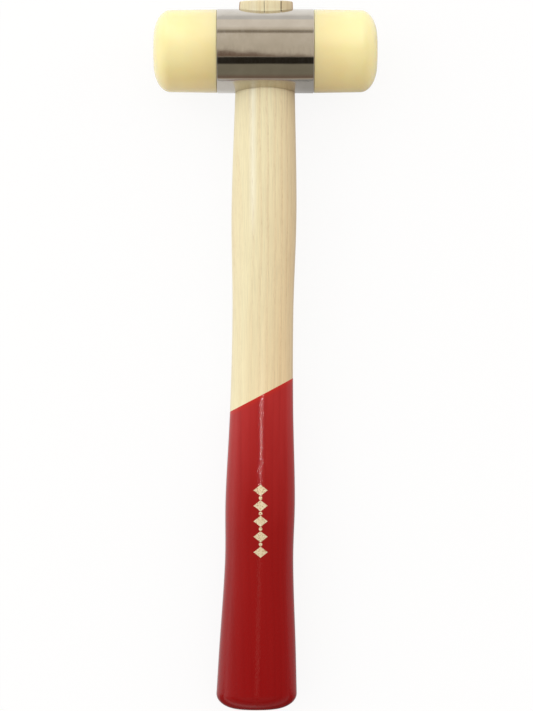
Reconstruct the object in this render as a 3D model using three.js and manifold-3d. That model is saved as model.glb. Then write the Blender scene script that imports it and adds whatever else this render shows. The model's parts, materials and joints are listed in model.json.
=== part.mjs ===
// A soft-faced hammer lying on a bench, in millimetres, with its handle along +Y and its head along X.
// The ash handle passes right through a chromed steel sleeve, where a wooden wedge and a steel cross
// wedge spread its tenon. A nylon face screws onto each end of the sleeve, on a steel stud. Every piece
// is shaped with the handle upright along +Z and the butt's flat on z = 0, and the hammer is laid down
// at the end.

import * as THREE from 'three';
import { mergeVertices } from 'three/addons/utils/BufferGeometryUtils.js';
import Module from 'manifold-3d';

// Head sleeve
const SLEEVE_DIAMETER = 35;
const SLEEVE_LENGTH = 40.4;
const SLEEVE_CHAMFER = 0.5;

// Nylon faces
const FACE_LENGTH = 26.2;
const FACE_STEP = 0.15; // how far the shoulder lies below the sleeve's skin
const FACE_DRAFT = 0.3; // radius lost between the shoulder and the dome
const FACE_CHAMFER = 0.4;
const FACE_DOME_DEPTH = 7; // length of the rounded striking end
const FACE_LAND_DIAMETER = 11.6; // flat middle of the striking end

// Studs
const STUD_DIAMETER = 12;
const STUD_CHAMFER = 1.2;
const STUD_FACE_DEPTH = 16; // length that is screwed into the nylon

// Handle: its lower stations are measured up from the butt, its upper ones down from the head
const HANDLE_LENGTH = 294.6; // from the butt's flat to the top of the stub
const BUTT_ROUND_HEIGHT = 6.5;
const FLARE_HEIGHT = 24.5;
const HEEL_HEIGHT = 62;
const GRIP_HEIGHT = 87;
const WAIST_DROP = 90.5;
const SWELL_DROP = 49.9;
const STUB_HEIGHT = 3.1; // how far the tenon stands out above the head

// Handle: the oval section at each station, wide along X and deep along Y
const BUTT_WIDTH = 33.5;
const BUTT_DEPTH = 25;
const FLARE_WIDTH = 32;
const FLARE_DEPTH = 24;
const HEEL_WIDTH = 28.5;
const HEEL_DEPTH = 21.6;
const GRIP_WIDTH = 29;
const GRIP_DEPTH = 21.8;
const THROAT_WIDTH = 26.3; // halfway between the grip and the waist
const THROAT_DEPTH = 19.6;
const WAIST_WIDTH = 25.5;
const WAIST_DEPTH = 18.8;
const SWELL_WIDTH = 27.2;
const SWELL_DEPTH = 19.2;
const NECK_WIDTH = 25;
const NECK_DEPTH = 15;
const STUB_WIDTH = 22.4;
const STUB_DEPTH = 13;
const STUB_CHAMFER = 0.5;
const BUTT_ROUND_WIDTH = 10; // how far the butt's round runs in from the sides to its flat land
const HANDLE_SWEEP = 3.8; // how far the butt lies to the left of the head's centre

// Wedges, driven in flush with the top of the stub
const WOODEN_WEDGE = { thickness: 3.6, tip: 1, depth: 30 };
const STEEL_WEDGE = { thickness: 2.4, tip: 0.8, depth: 16 };
const STEEL_WEDGE_WIDTH = 10;

// Clearances
const FIT_GAP = 0.3; // between a piece and the opening that it sits in
const SEAT_GAP = 0.15; // between a face's shoulder and the sleeve
const STUD_END_GAP = 0.6; // past each end of a stud

// Facets
const SLEEVE_SIDES = 96;
const FACE_SIDES = 64;
const STUD_SIDES = 32;
const HANDLE_SIDES = 48;
const HANDLE_STEPS = 36;
const BUTT_STEPS = 6;
const DOME_STEPS = 8;

// Heights and places that follow from those sizes
const STUB_TOP = HANDLE_LENGTH;
const NECK_HEIGHT = STUB_TOP - STUB_HEIGHT - SLEEVE_DIAMETER;
const HEAD_HEIGHT = NECK_HEIGHT + SLEEVE_DIAMETER / 2;
const WAIST_HEIGHT = NECK_HEIGHT - WAIST_DROP;
const GRIP_STATIONS = [
  [BUTT_WIDTH, BUTT_DEPTH, BUTT_ROUND_HEIGHT],
  [FLARE_WIDTH, FLARE_DEPTH, FLARE_HEIGHT],
  [HEEL_WIDTH, HEEL_DEPTH, HEEL_HEIGHT],
  [GRIP_WIDTH, GRIP_DEPTH, GRIP_HEIGHT],
  [THROAT_WIDTH, THROAT_DEPTH, (GRIP_HEIGHT + WAIST_HEIGHT) / 2],
  [WAIST_WIDTH, WAIST_DEPTH, WAIST_HEIGHT],
  [SWELL_WIDTH, SWELL_DEPTH, NECK_HEIGHT - SWELL_DROP],
  [NECK_WIDTH, NECK_DEPTH, NECK_HEIGHT],
];
const SHOULDER_PLACE = SLEEVE_LENGTH / 2 + SEAT_GAP;

// The lean of the lying handle, which lets the sleeve and the butt's widest section both touch the bench
const REST_RUN = HEAD_HEIGHT - BUTT_ROUND_HEIGHT;
const REST_SPAN = Math.hypot(REST_RUN, BUTT_DEPTH / 2);
const REST_TILT = Math.asin(SLEEVE_DIAMETER / 2 / REST_SPAN) - Math.atan2(BUTT_DEPTH / 2, REST_RUN);

const wasm = await Module();
wasm.setup();

// A closed geometry as a solid that can be cut.
function toSolid(geometry) {
  const bare = geometry.clone();
  bare.deleteAttribute('normal');
  bare.deleteAttribute('uv');
  const merged = mergeVertices(bare);
  return new wasm.Manifold(new wasm.Mesh({
    numProp: 3,
    vertProperties: merged.attributes.position.array,
    triVerts: new Uint32Array(merged.index.array),
  }));
}

// A cut solid as a geometry again.
function toGeometry(solid) {
  const { vertProperties, triVerts } = solid.getMesh();
  const geometry = new THREE.BufferGeometry();
  geometry.setAttribute('position', new THREE.BufferAttribute(vertProperties, 3));
  geometry.setIndex(new THREE.BufferAttribute(triVerts, 1));
  geometry.computeVertexNormals();
  return geometry;
}

// A closed skin over a stack of convex rings, listed from the lowest up.
function loft(rings) {
  const sides = rings[0].length;
  const top = (rings.length - 1) * sides;
  const triangles = [];
  for (let base = 0; base < top; base += sides) {
    for (let side = 0; side < sides; side += 1) {
      const here = base + side;
      const next = base + ((side + 1) % sides);
      triangles.push(here, next, next + sides);
      triangles.push(here, next + sides, here + sides);
    }
  }
  for (let side = 1; side < sides - 1; side += 1) {
    triangles.push(0, side + 1, side);
    triangles.push(top, top + side, top + side + 1);
  }
  const geometry = new THREE.BufferGeometry().setFromPoints(rings.flat());
  geometry.setIndex(triangles);
  geometry.computeVertexNormals();
  return geometry;
}

// The handle leans straight from the butt to the middle of the head.
function leanAt(height) {
  return -HANDLE_SWEEP * (1 - height / HEAD_HEIGHT);
}

// One oval ring of the handle.
function oval(height, halfWidth, halfDepth) {
  const ring = [];
  for (let side = 0; side < HANDLE_SIDES; side += 1) {
    const angle = (2 * Math.PI * side) / HANDLE_SIDES;
    const across = leanAt(height) + halfWidth * Math.cos(angle);
    ring.push(new THREE.Vector3(across, halfDepth * Math.sin(angle), height));
  }
  return ring;
}

// Half the tenon's width at a height: it tapers evenly from the neck to the top of the stub.
function tenonHalf(height, neckSize, stubSize) {
  const share = (height - NECK_HEIGHT) / (STUB_TOP - NECK_HEIGHT);
  return THREE.MathUtils.lerp(neckSize, stubSize, share) / 2;
}

// One oval ring of the tenon, or of the eye round it when there is a gap.
function tenonOval(height, gap) {
  const halfWidth = tenonHalf(height, NECK_WIDTH, STUB_WIDTH) + gap;
  const halfDepth = tenonHalf(height, NECK_DEPTH, STUB_DEPTH) + gap;
  return oval(height, halfWidth, halfDepth);
}

// The butt rounds over from its flat land out to its widest section.
function buttRings() {
  const rings = [];
  for (let step = 0; step < BUTT_STEPS; step += 1) {
    const angle = (Math.PI / 2) * (step / BUTT_STEPS);
    const height = BUTT_ROUND_HEIGHT * (1 - Math.cos(angle));
    const inset = BUTT_ROUND_WIDTH * (1 - Math.sin(angle));
    const scale = 1 - inset / (BUTT_WIDTH / 2);
    rings.push(oval(height, (scale * BUTT_WIDTH) / 2, (scale * BUTT_DEPTH) / 2));
  }
  return rings;
}

// From the butt to the neck the section follows a smooth curve through the stations.
function gripRings() {
  const stations = GRIP_STATIONS.map(([width, depth, height]) => (
    new THREE.Vector3(width / 2, depth / 2, height)
  ));
  const curve = new THREE.CatmullRomCurve3(stations);
  return curve.getPoints(HANDLE_STEPS).map((section) => oval(section.z, section.x, section.y));
}

// A wedge with its point down and its top on z = 0, thick along X and centred along Y.
function wedge({ thickness, tip, depth }, length, gap) {
  const outline = new THREE.Shape([
    new THREE.Vector2(-tip / 2 - gap, -depth - gap),
    new THREE.Vector2(tip / 2 + gap, -depth - gap),
    new THREE.Vector2(thickness / 2 + gap, gap),
    new THREE.Vector2(-thickness / 2 - gap, gap),
  ]);
  const run = length + 2 * gap;
  const geometry = new THREE.ExtrudeGeometry(outline, { depth: run, bevelEnabled: false });
  return geometry.rotateX(Math.PI / 2).translate(0, run / 2, 0);
}

// The wooden wedge lies along the long axis of the eye and runs past the tenon at both ends.
function woodenWedgeBlank(gap) {
  const blank = wedge(WOODEN_WEDGE, NECK_WIDTH + STUB_WIDTH, gap).rotateZ(Math.PI / 2);
  return toSolid(blank.translate(leanAt(STUB_TOP), 0, STUB_TOP));
}

// The steel wedge crosses it and bites into both halves of the tenon.
function steelWedgeBlank(gap) {
  const blank = wedge(STEEL_WEDGE, STEEL_WEDGE_WIDTH, gap);
  return toSolid(blank.translate(leanAt(STUB_TOP), 0, STUB_TOP));
}

function handleGeometry() {
  const chamferFoot = STUB_TOP - STUB_CHAMFER;
  const rings = [
    ...buttRings(),
    ...gripRings(),
    tenonOval(chamferFoot, 0),
    tenonOval(STUB_TOP, -STUB_CHAMFER),
  ];
  const whole = toSolid(loft(rings));
  const split = whole.subtract(woodenWedgeBlank(FIT_GAP));
  return toGeometry(split.subtract(steelWedgeBlank(FIT_GAP)));
}

function woodenWedgeGeometry() {
  const tenon = toSolid(loft([
    tenonOval(NECK_HEIGHT, 0),
    tenonOval(STUB_TOP - STUB_CHAMFER, 0),
    tenonOval(STUB_TOP, -STUB_CHAMFER),
  ]));
  const trimmed = woodenWedgeBlank(0).intersect(tenon);
  return toGeometry(trimmed.subtract(steelWedgeBlank(FIT_GAP)));
}

function steelWedgeGeometry() {
  return toGeometry(steelWedgeBlank(0));
}

// A turned shape standing along Y, from points of radius and height listed from its foot up.
function turned(profile, sides) {
  const points = profile.map(([radius, height]) => new THREE.Vector2(radius, height));
  return new THREE.LatheGeometry(points, sides);
}

// A bar with the same chamfer at both ends, standing along Y from its foot.
function chamferedBar(radius, length, chamfer, sides) {
  return turned([
    [0, 0],
    [radius - chamfer, 0],
    [radius, chamfer],
    [radius, length - chamfer],
    [radius - chamfer, length],
    [0, length],
  ], sides);
}

// The sleeve is bored through from end to end for the studs, and the tapered eye crosses the bore.
function sleeveGeometry() {
  const bar = chamferedBar(SLEEVE_DIAMETER / 2, SLEEVE_LENGTH, SLEEVE_CHAMFER, SLEEVE_SIDES);
  const boreRadius = STUD_DIAMETER / 2 + FIT_GAP;
  const boreLength = 2 * SLEEVE_LENGTH;
  const bore = new THREE.CylinderGeometry(boreRadius, boreRadius, boreLength, STUD_SIDES);
  const blank = toSolid(bar.translate(0, -SLEEVE_LENGTH / 2, 0)).subtract(toSolid(bore));
  const lying = toGeometry(blank).rotateZ(-Math.PI / 2).translate(0, 0, HEAD_HEIGHT);
  const eye = loft([tenonOval(NECK_HEIGHT - STUB_HEIGHT, FIT_GAP), tenonOval(STUB_TOP, FIT_GAP)]);
  return toGeometry(toSolid(lying).subtract(toSolid(eye)));
}

// The stud stands along Y with its shoulder plane, the end of the sleeve, at y = 0.
function studGeometry() {
  const tenonSide = tenonHalf(HEAD_HEIGHT, NECK_WIDTH, STUB_WIDTH);
  const sleeveDepth = SLEEVE_LENGTH / 2 - tenonSide - STUD_END_GAP;
  const length = sleeveDepth + SEAT_GAP + STUD_FACE_DEPTH;
  const bar = chamferedBar(STUD_DIAMETER / 2, length, STUD_CHAMFER, STUD_SIDES);
  return bar.translate(0, -sleeveDepth - SEAT_GAP, 0);
}

// The face stands along Y with its shoulder at y = 0 and a blind hole for its stud. Its striking end
// is a quarter ellipse round a flat land.
function faceGeometry() {
  const holeRadius = STUD_DIAMETER / 2 + FIT_GAP;
  const holeDepth = STUD_FACE_DEPTH + STUD_END_GAP;
  const shoulderRadius = SLEEVE_DIAMETER / 2 - FACE_STEP;
  const domeRadius = shoulderRadius - FACE_DRAFT;
  const landRadius = FACE_LAND_DIAMETER / 2;
  const domeFoot = FACE_LENGTH - FACE_DOME_DEPTH;
  const dome = [];
  for (let step = 0; step <= DOME_STEPS; step += 1) {
    const angle = (Math.PI / 2) * (step / DOME_STEPS);
    const radius = landRadius + (domeRadius - landRadius) * Math.cos(angle);
    dome.push([radius, domeFoot + FACE_DOME_DEPTH * Math.sin(angle)]);
  }
  return turned([
    [0, holeDepth],
    [holeRadius, holeDepth],
    [holeRadius, 0],
    [shoulderRadius - FACE_CHAMFER, 0],
    [shoulderRadius, FACE_CHAMFER],
    ...dome,
    [0, FACE_LENGTH],
  ], FACE_SIDES);
}

// One named piece in its own finish.
function piece(name, geometry, finish) {
  const mesh = new THREE.Mesh(geometry, new THREE.MeshStandardMaterial(finish));
  mesh.name = name;
  return mesh;
}

const ASH = { color: '#ecd9b0', roughness: 0.45, metalness: 0 };
const WEDGE_WOOD = { color: '#c9a871', roughness: 0.6, metalness: 0 };
const BARE_STEEL = { color: '#8d8f92', roughness: 0.4, metalness: 1 };
const CHROME = { color: '#d9dadc', roughness: 0.08, metalness: 1 };
const NYLON = { color: '#f4e2a4', roughness: 0.35, metalness: 0 };

const hammer = new THREE.Group();
hammer.add(piece('handle', handleGeometry(), ASH));
hammer.add(piece('wooden_wedge', woodenWedgeGeometry(), WEDGE_WOOD));
hammer.add(piece('steel_wedge', steelWedgeGeometry(), BARE_STEEL));
hammer.add(piece('head_sleeve', sleeveGeometry(), CHROME));

// A face and its stud at each end of the head, mirrored about the middle of the sleeve
for (const [side, direction] of [['left', -1], ['right', 1]]) {
  const end = new THREE.Group();
  end.position.set(direction * SHOULDER_PLACE, 0, HEAD_HEIGHT);
  end.rotation.z = (-direction * Math.PI) / 2;
  end.add(piece(`${side}_stud`, studGeometry(), BARE_STEEL));
  end.add(piece(`${side}_face`, faceGeometry(), NYLON));
  hammer.add(end);
}

// The hammer is laid on its back, with its middle over the origin and its underside on z = 0.
hammer.rotation.x = REST_TILT - Math.PI / 2;
const box = new THREE.Box3().setFromObject(hammer, true);
const middle = box.getCenter(new THREE.Vector3());
hammer.position.set(-middle.x, -middle.y, -box.min.z);

export default hammer;
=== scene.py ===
"""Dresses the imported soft-face hammer and sets its white table, lights and camera.

Shapes are worked out in the hammer's own upright millimetres: X along the head to the right-hand face, Y to
its back and Z up the handle from the butt's flat. The laid matrix then lays them down where the solids lie.
"""

import json
import math
from collections import namedtuple

import bmesh
import bpy
from mathutils import Matrix, Vector


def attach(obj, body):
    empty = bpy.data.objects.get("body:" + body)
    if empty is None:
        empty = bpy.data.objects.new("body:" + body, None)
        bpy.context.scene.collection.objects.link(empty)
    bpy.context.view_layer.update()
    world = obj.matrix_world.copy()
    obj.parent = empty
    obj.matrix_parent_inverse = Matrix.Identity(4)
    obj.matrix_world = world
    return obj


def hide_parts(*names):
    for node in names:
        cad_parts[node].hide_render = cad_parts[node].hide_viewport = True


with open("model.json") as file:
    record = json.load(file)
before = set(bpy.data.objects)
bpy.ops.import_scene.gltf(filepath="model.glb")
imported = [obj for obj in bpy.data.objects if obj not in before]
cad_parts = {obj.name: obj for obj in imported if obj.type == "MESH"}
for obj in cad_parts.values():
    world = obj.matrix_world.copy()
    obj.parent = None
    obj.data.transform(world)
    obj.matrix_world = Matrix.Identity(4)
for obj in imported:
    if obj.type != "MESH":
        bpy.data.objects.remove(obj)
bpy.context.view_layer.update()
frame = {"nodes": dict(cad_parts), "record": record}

MM = 0.001
QUARTER = math.pi / 2
SHARP_ANGLE = math.radians(38)
BOX_INSET = 0.004  # keeps the round skins inside the box of the solids' corners

# Reading the solids
ROW_GAP = 0.02  # corners closer in height than this share a row
FULL_RING = 24  # fewer corners than this at one height belong to the split in the tenon
WIDTH_READ = 0.95  # share of the depth within which a corner tells the oval's width
BUTT_LIMIT = 20  # the butt's widest section lies below this height

# Handle
HANDLE_SIDES = 160
RING_STEP = 1.2  # between the rings of the grip
BUTT_STEPS = 16
BARE_INSET = 0.06  # the bare wood lies this far inside the solid's skin
COVERED_INSET = 0.18  # and this far inside it under the lacquer
BURIED_FROM = 0.3  # below the lacquer's edge, where the wood begins to lie deeper
BURIED_OVER = 1.5  # the height over which it gets there
STUB_ROUND = 0.45
BOW = 0.5  # how far the handle bows to the right between the butt and the head

# Lacquer: a dipped coat that ends on a slanting plane
DIP_HEIGHT = 131.7  # on the head's centre line
DIP_SLOPE = 0.529  # rise for each millimetre to the right
DIP_ROUNDS = 6  # of reckoning, because the edge's height depends on the width there
COAT_THICKNESS = 0.13
LIP = [(0.5, 0.0), (0.22, 0.006), (0.1, 0.024), (0.03, 0.06), (0.0, 0.11)]  # below the edge, inset

# Foil ornament on the front of the grip
FOIL_ACROSS = -2.0
FOIL_HEIGHT = 78.7
FOIL_PITCH = 6.4
FOIL_COUNT = 5
FOIL_STEPS = 16
FOIL_TIP = 0.02  # least share of its height that a patch keeps at its tips
FOIL_RISE = 0.02
LOZENGE = (2.9, 2.3)  # half width and half height
DOT = (0.75, 0.75)

# Wedges
KERF_GAP = 0.04

# Cracks that the wedges opened in the front of the stub: place across, width of the cutter, depth
CRACKS = [(-0.5, 0.25, 3.0), (6.5, 0.45, 2.4)]
CRACK_HEIGHT = 9.0
CRACK_REACH = 1.0  # how far the cutter stands out past the wood

# Sleeve
PATCH_SIDE = 64  # segments along each side of the patch round an eye opening
PATCH_STEPS = 4 * PATCH_SIDE
PATCH_TURN = math.radians(45)
PATCH_BLEND = [1, 0.82, 0.64, 0.47, 0.32, 0.19, 0.09, 0.03, 0]  # its rings, from its square edge to the rim
RIGHT, BACK, LEFT, FRONT = range(4)  # its sides, in turn
EYE_GAP = 0.24
EYE_LEVELS = (0.5, 0, -0.5)  # rings of the eye's wall, in shares of the sleeve's radius
RIM_RADIUS = 0.3
RIM_HOLD = 0.08  # a narrow strip that keeps the rim's round crisp
RIM_STEPS = 5
RIM_ROUNDS = 3  # of reckoning, because the rim's height depends on the eye's taper
END_CHAMFER = 0.3
BORE_GAP = 0.1
BORE_WEB = 0.25  # metal left between a stud's blind bore and the eye

# Studs, with a coarse metric thread
STUD_SIDES = 48
THREAD_PITCH = 1.75
THREAD_DEPTH = 1.07
THREAD_ROOT, THREAD_FLANKS = 0.2, 0.65  # shares of the pitch, and the crest has the rest
THREAD_GAP = 0.05
THREAD_STEPS = 16  # for each turn
STUD_CHAMFER = 1.2

# Nylon faces
FACE_SIDES = 160
DOME_DEPTH = 7.0
DOME_STEPS = 28
FACE_DRAFT = 0.3
FACE_EDGE = 0.25
BARREL_LEVELS = (0.02, 0.25, 0.5, 0.75)  # rings between the shoulder and the dome, in shares of the way
LAND_LEVELS = (0.8, 0.4, 0.05)  # rings on the flat land, in shares of its radius
SEAT_GAP = 0.06
FACE_HOLE_GAP = 0.1
FACE_HOLE_END = 0.5

# Camera, in the hammer's own millimetres, straight in front of the middle of the handle
CAMERA_PLACE = Vector((0.46, -1300, 147.2))
VIEW_HEIGHT = 296.25  # what the picture's height spans at the hammer
SENSOR = 36.0


# Places from the frame

mounts = {mount["name"]: mount for mount in frame["record"]["mounts"]}
left_strike = Vector(mounts["left_strike"]["pos_m"])
right_strike = Vector(mounts["right_strike"]["pos_m"])
butt = Vector(mounts["butt_end"]["pos_m"])
up = -Vector(mounts["butt_end"]["axis"]).normalized()
across = (right_strike - left_strike).normalized()
head = (left_strike + right_strike) / 2
head_rise = (head - butt).dot(up)
turned_down = Matrix((across, up.cross(across), up)).transposed().to_4x4()
laid = Matrix.Translation(head - head_rise * up) @ turned_down

HEAD_HEIGHT = head_rise / MM
BUTT_ACROSS = butt.x / MM
FACE_END = right_strike.x / MM - BOX_INSET

Ring = namedtuple("Ring", "height width depth")  # one oval of the handle, with half its width and depth


def within(value):
    """The value, kept between 0 and 1."""
    return min(max(value, 0), 1)


def corners(node):
    """A CAD node's corners in the hammer's own millimetres."""
    upright = laid.inverted()
    return [upright @ corner.co / MM for corner in frame["nodes"][node].data.vertices]


def rows(points):
    """The points sorted by height, in groups that share one height."""
    found = []
    for point in sorted(points, key=lambda one: one.z):
        if found and point.z - found[-1][0].z < ROW_GAP:
            found[-1].append(point)
        else:
            found.append([point])
    return found


def lean(height):
    """How far to the right the middle of the handle's solid lies."""
    return BUTT_ACROSS * (1 - height / HEAD_HEIGHT)


def centre(height):
    """How far to the right the middle of the bowed handle lies."""
    return lean(height) + BOW * math.sin(math.pi * within(height / HEAD_HEIGHT))


def from_axis(point):
    """How far a point lies from the head's axis."""
    return math.hypot(point.y, point.z - HEAD_HEIGHT)


def handle_rings():
    """Each full ring of the handle's solid, from the butt up."""
    found = []
    for row in rows(corners("handle")):
        places = {(round(point.x, 2), round(point.y, 2)) for point in row}
        if len(places) < FULL_RING:
            continue
        height = row[0].z
        depth = max(point.y for point in row)
        width = max(
            abs(point.x - lean(height)) / math.sqrt(1 - (point.y / depth) ** 2)
            for point in row
            if abs(point.y) < WIDTH_READ * depth
        )
        found.append(Ring(height, width, depth))
    return found


solid_rings = handle_rings()
land_ring = solid_rings[0]
butt_ring = max((ring for ring in solid_rings if ring.height < BUTT_LIMIT), key=lambda ring: ring.width)
grip_rings = [ring for ring in solid_rings if ring.height >= butt_ring.height]
STUB_TOP = max(point.z for point in corners("handle"))
sleeve_points = corners("head_sleeve")
SLEEVE_RADIUS = max(map(from_axis, sleeve_points)) - BOX_INSET
SLEEVE_END = max(point.x for point in sleeve_points)
face_points = corners("right_face")
FACE_SHOULDER = SLEEVE_END + SEAT_GAP
FACE_RADIUS = max(map(from_axis, face_points))
LAND_RADIUS = max(from_axis(point) for point in face_points if point.x > FACE_END)
stud_points = corners("right_stud")
STUD_START = min(point.x for point in stud_points)
STUD_END = max(point.x for point in stud_points)
STUD_RADIUS = max(map(from_axis, stud_points))


# Mesh helpers

class Skin:
    """Collects rings of points, in the hammer's own millimetres, and the faces between them."""

    def __init__(self):
        self.points = []
        self.faces = []

    def ring(self, points):
        first = len(self.points)
        self.points.extend(points)
        return list(range(first, len(self.points)))

    def bridge(self, lower, upper, closed=True):
        count = len(lower)
        for here in range(count if closed else count - 1):
            there = (here + 1) % count
            self.faces.append((lower[here], lower[there], upper[there], upper[here]))

    def join(self, rings, closed=True):
        """Bridges each ring to the next."""
        for lower, upper in zip(rings, rings[1:]):
            self.bridge(lower, upper, closed)

    def cap(self, ring):
        self.faces.append(tuple(ring))

    def tube(self, rings):
        """A closed tube through rings of points, capped at both ends."""
        made = [self.ring(points) for points in rings]
        self.join(made)
        self.cap(made[0])
        self.cap(made[-1])

    def solid(self, name):
        mesh = bpy.data.meshes.new(name)
        mesh.from_pydata([laid @ (point * MM) for point in self.points], [], self.faces)
        work = bmesh.new()
        work.from_mesh(mesh)
        bmesh.ops.recalc_face_normals(work, faces=work.faces)
        work.to_mesh(mesh)
        work.free()
        made = bpy.data.objects.new(name, mesh)
        bpy.context.scene.collection.objects.link(made)
        return made


def tube_solid(name, rings):
    """A solid that is one closed tube through rings of points."""
    skin = Skin()
    skin.tube(rings)
    return skin.solid(name)


def combine(base, other, operation):
    """Cuts the base by the other solid, or keeps what they share."""
    modifier = base.modifiers.new("combine", "BOOLEAN")
    modifier.object = other
    modifier.operation = operation
    modifier.solver = "EXACT"
    graph = bpy.context.evaluated_depsgraph_get()
    mesh = bpy.data.meshes.new_from_object(base.evaluated_get(graph))
    base.modifiers.clear()
    base.data = mesh


def discard(*solids):
    for solid in solids:
        bpy.data.objects.remove(solid)


def dress(piece, finish, body, slot, *nodes):
    """Gives a piece its finish and its body, and hides the CAD nodes that it stands for. The slot is not
    used.
    """
    piece.data.shade_smooth()
    piece.data.set_sharp_from_angle(angle=SHARP_ANGLE)
    piece.data.materials.clear()
    piece.data.materials.append(finish)
    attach(piece, body)
    if nodes:
        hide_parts(*nodes)


def smooth_step(value):
    value = within(value)
    return value * value * (3 - 2 * value)


# Handle shapes

def section(height):
    """Half width and half depth of the handle at a height: a smooth curve through the solid's rings."""
    last = len(grip_rings) - 2
    index = 0
    while index < last and grip_rings[index + 1].height < height:
        index += 1
    low, high = grip_rings[index], grip_rings[index + 1]
    span = high.height - low.height
    share = (height - low.height) / span
    if high.height > HEAD_HEIGHT:
        return low.width + share * (high.width - low.width), low.depth + share * (high.depth - low.depth)
    before = grip_rings[max(index - 1, 0)]
    after = grip_rings[index + 2] if grip_rings[index + 2].height < HEAD_HEIGHT else high
    found = []
    for side in ("width", "depth"):
        first, second = getattr(low, side), getattr(high, side)
        start = (second - getattr(before, side)) / (high.height - before.height) * span
        end = (getattr(after, side) - first) / (after.height - low.height) * span
        rise = second - first
        bend = share * (share - 1)
        found.append(first + share * rise + bend * ((share - 1) * (start - rise) + share * (end - rise)))
    return tuple(found)


def angles(count):
    return [2 * math.pi * step / count for step in range(count)]


def oval_point(height, width, depth, angle, inset):
    """A point of an oval of the handle, moved in along the oval's own normal."""
    normal = Vector((depth * math.cos(angle), width * math.sin(angle), 0)).normalized()
    point = Vector((centre(height) + width * math.cos(angle), depth * math.sin(angle), height))
    return point - inset * normal


def oval(height, width, depth, inset):
    return [oval_point(height, width, depth, angle, inset) for angle in angles(HANDLE_SIDES)]


def oval_depth(run, height):
    """Half the handle's depth at a place across it."""
    width, depth = section(height)
    return depth * math.sqrt(1 - ((run - centre(height)) / width) ** 2)


def butt_rings(inset):
    """The rings of the rounded butt, from its flat land out to just under its widest section."""
    rings = []
    for step in range(BUTT_STEPS):
        turn = QUARTER * step / BUTT_STEPS
        height = butt_ring.height * (1 - math.cos(turn)) + inset * math.cos(turn)
        width = land_ring.width + (butt_ring.width - land_ring.width) * math.sin(turn)
        depth = land_ring.depth + (butt_ring.depth - land_ring.depth) * math.sin(turn)
        rings.append(oval(height, width, depth, inset * math.sin(turn)))
    return rings


def dip_edge(angle):
    """Height of the lacquer's edge at an angle round the handle."""
    height = DIP_HEIGHT
    for _ in range(DIP_ROUNDS):
        width = section(height)[0]
        height = DIP_HEIGHT + DIP_SLOPE * (centre(height) + width * math.cos(angle))
    return height


dip_edges = [dip_edge(angle) for angle in angles(HANDLE_SIDES)]


def grip_ring(heights, inset_at):
    """One ring of the grip, with a height and an inset for each side."""
    ring = []
    for side, angle in enumerate(angles(HANDLE_SIDES)):
        width, depth = section(heights[side])
        ring.append(oval_point(heights[side], width, depth, angle, inset_at(side, heights[side])))
    return ring


def wood_inset(side, height):
    """The wood stands out a little where the coat ends."""
    buried = smooth_step((dip_edges[side] - BURIED_FROM - height) / BURIED_OVER)
    return BARE_INSET + (COVERED_INSET - BARE_INSET) * buried


def even_heights(low, high, step):
    count = math.ceil((high - low) / step)
    return [low + (high - low) * index / count for index in range(count + 1)]


def stub_rings():
    """The rounded edge at the top of the stub."""
    rings = []
    foot = STUB_TOP - STUB_ROUND
    width, depth = section(foot)
    for step in range(1, RIM_STEPS + 1):
        turn = QUARTER * step / RIM_STEPS
        height = foot + STUB_ROUND * math.sin(turn)
        rings.append(oval(height, width, depth, BARE_INSET + STUB_ROUND * (1 - math.cos(turn))))
    return rings


def bare_handle(name):
    """The whole wooden handle, before its tenon is split."""
    rings = butt_rings(COVERED_INSET)
    for height in even_heights(butt_ring.height, STUB_TOP - STUB_ROUND, RING_STEP):
        rings.append(grip_ring([height] * HANDLE_SIDES, wood_inset))
    return tube_solid(name, rings + stub_rings())


def wedge_blank(node, along, gap, name):
    """A tapered prism with the CAD wedge's taper, grown by a gap, lying along x or y."""
    levels = rows(corners(node))
    tip, top = levels[0], levels[-1]
    thick = "y" if along == "x" else "x"
    middle = sum(getattr(point, thick) for point in top) / len(top)
    ends = [getattr(point, along) for level in levels for point in level]
    low, high = min(ends) - gap, max(ends) + gap
    rings = []
    for level, rise in ((tip, -gap), (top, gap)):
        half = max(abs(getattr(point, thick) - middle) for point in level) + gap
        ring = []
        for run, side in ((low, -half), (high, -half), (high, half), (low, half)):
            place = {along: run, thick: middle + side}
            ring.append(Vector((place["x"], place["y"], level[0].z + rise)))
        rings.append(ring)
    return tube_solid(name, rings)


def crack_blank(run, width, depth):
    """A thin prism with its sharp edge inside the wood."""
    front = -oval_depth(run, STUB_TOP)
    rings = []
    for height in (STUB_TOP - CRACK_HEIGHT, STUB_TOP + CRACK_REACH):
        rings.append([
            Vector((run - width / 2, front - CRACK_REACH, height)),
            Vector((run + width / 2, front - CRACK_REACH, height)),
            Vector((run, front + depth, height)),
        ])
    return tube_solid("crack", rings)


def wooden_parts():
    """The split handle, the wooden wedge in its kerf and the steel wedge across it."""
    handle = bare_handle("handle_wood")
    tenon = bare_handle("tenon")
    wooden = wedge_blank("wooden_wedge", "x", 0, "wedge_of_wood")
    steel = wedge_blank("steel_wedge", "y", 0, "wedge_of_steel")
    kerf = wedge_blank("wooden_wedge", "x", KERF_GAP, "kerf")
    cross_kerf = wedge_blank("steel_wedge", "y", KERF_GAP, "cross_kerf")
    combine(handle, kerf, "DIFFERENCE")
    combine(handle, cross_kerf, "DIFFERENCE")
    for run, width, depth in CRACKS:
        crack = crack_blank(run, width, depth)
        combine(handle, crack, "DIFFERENCE")
        discard(crack)
    combine(wooden, tenon, "INTERSECT")
    combine(wooden, cross_kerf, "DIFFERENCE")
    discard(tenon, kerf, cross_kerf)
    return handle, wooden, steel


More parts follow.
